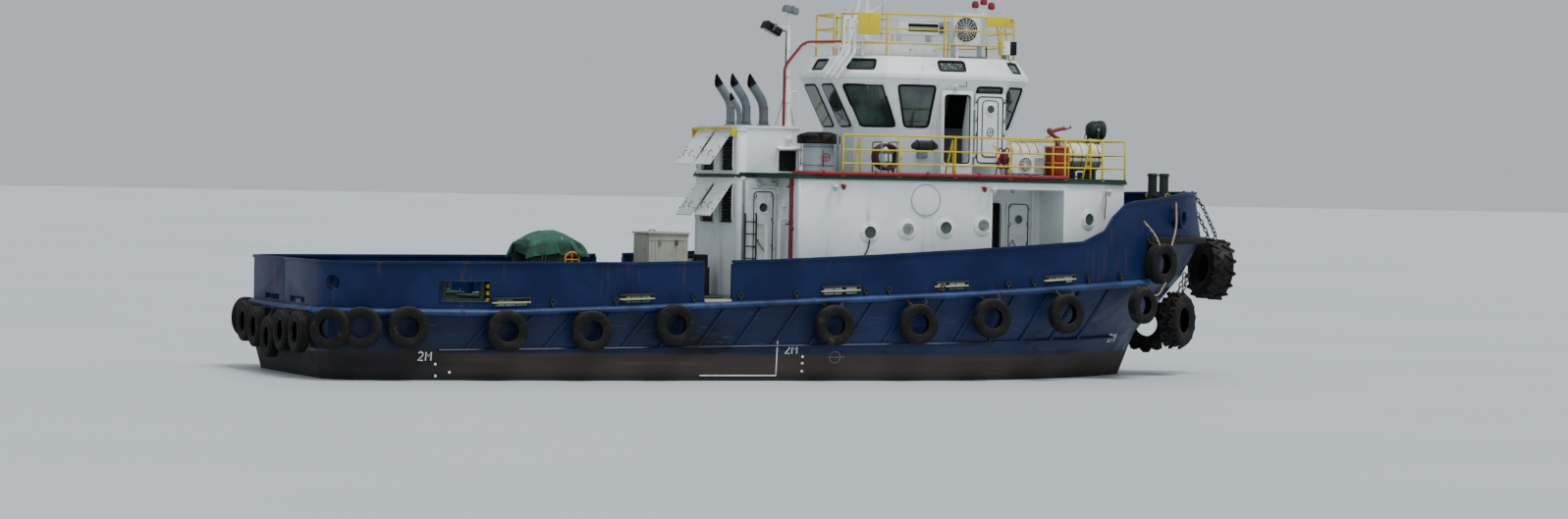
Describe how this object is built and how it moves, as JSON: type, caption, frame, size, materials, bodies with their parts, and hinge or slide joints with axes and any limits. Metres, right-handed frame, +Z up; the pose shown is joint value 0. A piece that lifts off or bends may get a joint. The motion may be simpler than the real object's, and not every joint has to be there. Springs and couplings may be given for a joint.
{
  "type": "harbour tugboat",
  "caption": "Steel harbour tugboat, afloat: blue hull hung with fender tyres, white deckhouse and wheelhouse, engine casing, towing gear.",
  "frame": {"origin": "amidships on the centreline at the waterline the boat floats at", "axes": "+X to the bow, +Y to port, +Z up"},
  "size_m": [24.0315, 8.0244, 13.76],
  "materials": {
    "hull": "weathered antifouling and topside paint",
    "blue": "worn satin paint",
    "rubber": "weathered rubber",
    "white": "satin paint, streaked",
    "yellow": "satin paint, worn",
    "red": "satin paint",
    "dark": "dull deck paint",
    "steel": "dull, grimy",
    "bronze": "cast, tarnished",
    "green": "proofed canvas"
  },
  "bodies": {
    "boat": {"hull": "hull", "bulwark_fore": "blue", "bulwark_aft_starboard": "blue", "bulwark_aft_port": "blue", "strake_upper_starboard": "rubber", "strake_upper_port": "rubber", "strake_lower_starboard": "blue", "strake_lower_port": "blue", "strake_stern": "rubber", "bow_fender": "rubber", "bow_tyre_stem": "rubber", "bow_tyre_low_starboard": "rubber", "bow_tyre_low_port": "rubber", "deckhouse": "white", "casing_lower": "white", "casing_upper": "white", "upper_deck": "dark", "exhaust_stacks": "steel", "wheelhouse": "white", "wheelhouse_roof": "white", "rail_upper_deck": "yellow", "rail_wheelhouse_top": "yellow", "winch_frame": "steel", "winch_cover": "green", "towing_bitt": "dark", "hook_pedestal": "dark", "deck_locker": "steel", "fairlead_frame_starboard": "yellow", "fairlead_frame_port": "yellow", "bow_bitt": "dark", "windlass_frame": "dark", "ventilator_starboard": "white", "liferaft_starboard": "white", "ventilator_port": "white", "liferaft_port": "white", "deck_cooling_unit": "white", "fire_monitor": "red", "searchlight": "white", "lamp_pole": "white", "roof_locker": "white", "roof_cooling_unit": "white", "mast": "white"},
    "propeller_starboard": {"propeller_starboard": "bronze"},
    "propeller_port": {"propeller_port": "bronze"},
    "rudder_starboard": {"rudder_starboard": "hull"},
    "rudder_port": {"rudder_port": "hull"},
    "wheelhouse_door_starboard": {"wheelhouse_door_starboard": "white"},
    "wheelhouse_door_port": {"wheelhouse_door_port": "white"},
    "house_door_starboard": {"house_door_starboard": "white"},
    "house_door_port": {"house_door_port": "white"},
    "casing_door": {"casing_door": "white"},
    "casing_flap_upper_starboard": {"casing_flap_upper_starboard": "white"},
    "casing_flap_upper_port": {"casing_flap_upper_port": "white"},
    "casing_flap_lower_starboard": {"casing_flap_lower_starboard": "white"},
    "casing_flap_lower_port": {"casing_flap_lower_port": "white"},
    "radar_scanner": {"radar_scanner": "white"},
    "winch_drum": {"winch_drum": "steel"},
    "windlass_drum": {"windlass_drum": "dark"},
    "tow_hook": {"tow_hook": "steel"},
    "deck_locker_lid": {"deck_locker_lid": "steel"}
  },
  "joints": [
    {"name": "propeller_starboard_spin", "type": "hinge", "parent": "boat", "child": "propeller_starboard", "pos_m": [-9.3, -1.45, -1.48], "axis": [1, 0, 0], "continuous": true},
    {"name": "propeller_port_spin", "type": "hinge", "parent": "boat", "child": "propeller_port", "pos_m": [-9.3, 1.45, -1.48], "axis": [1, 0, 0], "continuous": true},
    {"name": "rudder_starboard_turn", "type": "hinge", "parent": "boat", "child": "rudder_starboard", "pos_m": [-10.15, -1.45, -1.2], "axis": [0, 0, 1], "range_deg": [-35, 35]},
    {"name": "rudder_port_turn", "type": "hinge", "parent": "boat", "child": "rudder_port", "pos_m": [-10.15, 1.45, -1.2], "axis": [0, 0, 1], "range_deg": [-35, 35]},
    {"name": "wheelhouse_door_starboard_swing", "type": "hinge", "parent": "boat", "child": "wheelhouse_door_starboard", "pos_m": [4.6, -1.858, 5.8], "axis": [0, 0, -1], "range_deg": [0, 180]},
    {"name": "wheelhouse_door_port_swing", "type": "hinge", "parent": "boat", "child": "wheelhouse_door_port", "pos_m": [4.6, 1.858, 5.8], "axis": [0, 0, -1], "range_deg": [0, 180]},
    {"name": "house_door_starboard_swing", "type": "hinge", "parent": "boat", "child": "house_door_starboard", "pos_m": [6.29, -1.376, 3.2], "axis": [0, 0, 1], "range_deg": [0, 100]},
    {"name": "house_door_port_swing", "type": "hinge", "parent": "boat", "child": "house_door_port", "pos_m": [6.29, 1.376, 3.2], "axis": [0, 0, -1], "range_deg": [0, 100]},
    {"name": "casing_door_swing", "type": "hinge", "parent": "boat", "child": "casing_door", "pos_m": [-0.78, -1.396, 3.2], "axis": [0, 0, -1], "range_deg": [0, 120]},
    {"name": "casing_flap_upper_starboard_lift", "type": "hinge", "parent": "boat", "child": "casing_flap_upper_starboard", "pos_m": [-1.14, -0.59, 5.655], "axis": [0, 1, 0], "range_deg": [-35, 45]},
    {"name": "casing_flap_upper_port_lift", "type": "hinge", "parent": "boat", "child": "casing_flap_upper_port", "pos_m": [-1.14, 0.59, 5.655], "axis": [0, 1, 0], "range_deg": [-35, 45]},
    {"name": "casing_flap_lower_starboard_lift", "type": "hinge", "parent": "boat", "child": "casing_flap_lower_starboard", "pos_m": [-1.14, -0.59, 4.44], "axis": [0, 1, 0], "range_deg": [-35, 45]},
    {"name": "casing_flap_lower_port_lift", "type": "hinge", "parent": "boat", "child": "casing_flap_lower_port", "pos_m": [-1.14, 0.59, 4.44], "axis": [0, 1, 0], "range_deg": [-35, 45]},
    {"name": "radar_spin", "type": "hinge", "parent": "boat", "child": "radar_scanner", "pos_m": [3.36, 0, 9.35], "axis": [0, 0, 1], "continuous": true},
    {"name": "winch_drum_spin", "type": "hinge", "parent": "boat", "child": "winch_drum", "pos_m": [-5.25, 0, 2.33], "axis": [0, 1, 0], "continuous": true},
    {"name": "windlass_drum_spin", "type": "hinge", "parent": "boat", "child": "windlass_drum", "pos_m": [9.45, 0, 3.76], "axis": [0, 1, 0], "continuous": true},
    {"name": "tow_hook_swing", "type": "hinge", "parent": "boat", "child": "tow_hook", "pos_m": [-1.75, 0, 2.6], "axis": [0, 0, 1], "range_deg": [-80, 80]},
    {"name": "locker_lid_lift", "type": "hinge", "parent": "boat", "child": "deck_locker_lid", "pos_m": [-2.46, -1.4, 3.266], "axis": [0, 1, 0], "range_deg": [0, 95]}
  ],
  "couplings": [
    {"joint": "rudder_port_turn", "follows": "rudder_starboard_turn", "ratio": 1}
  ]
}
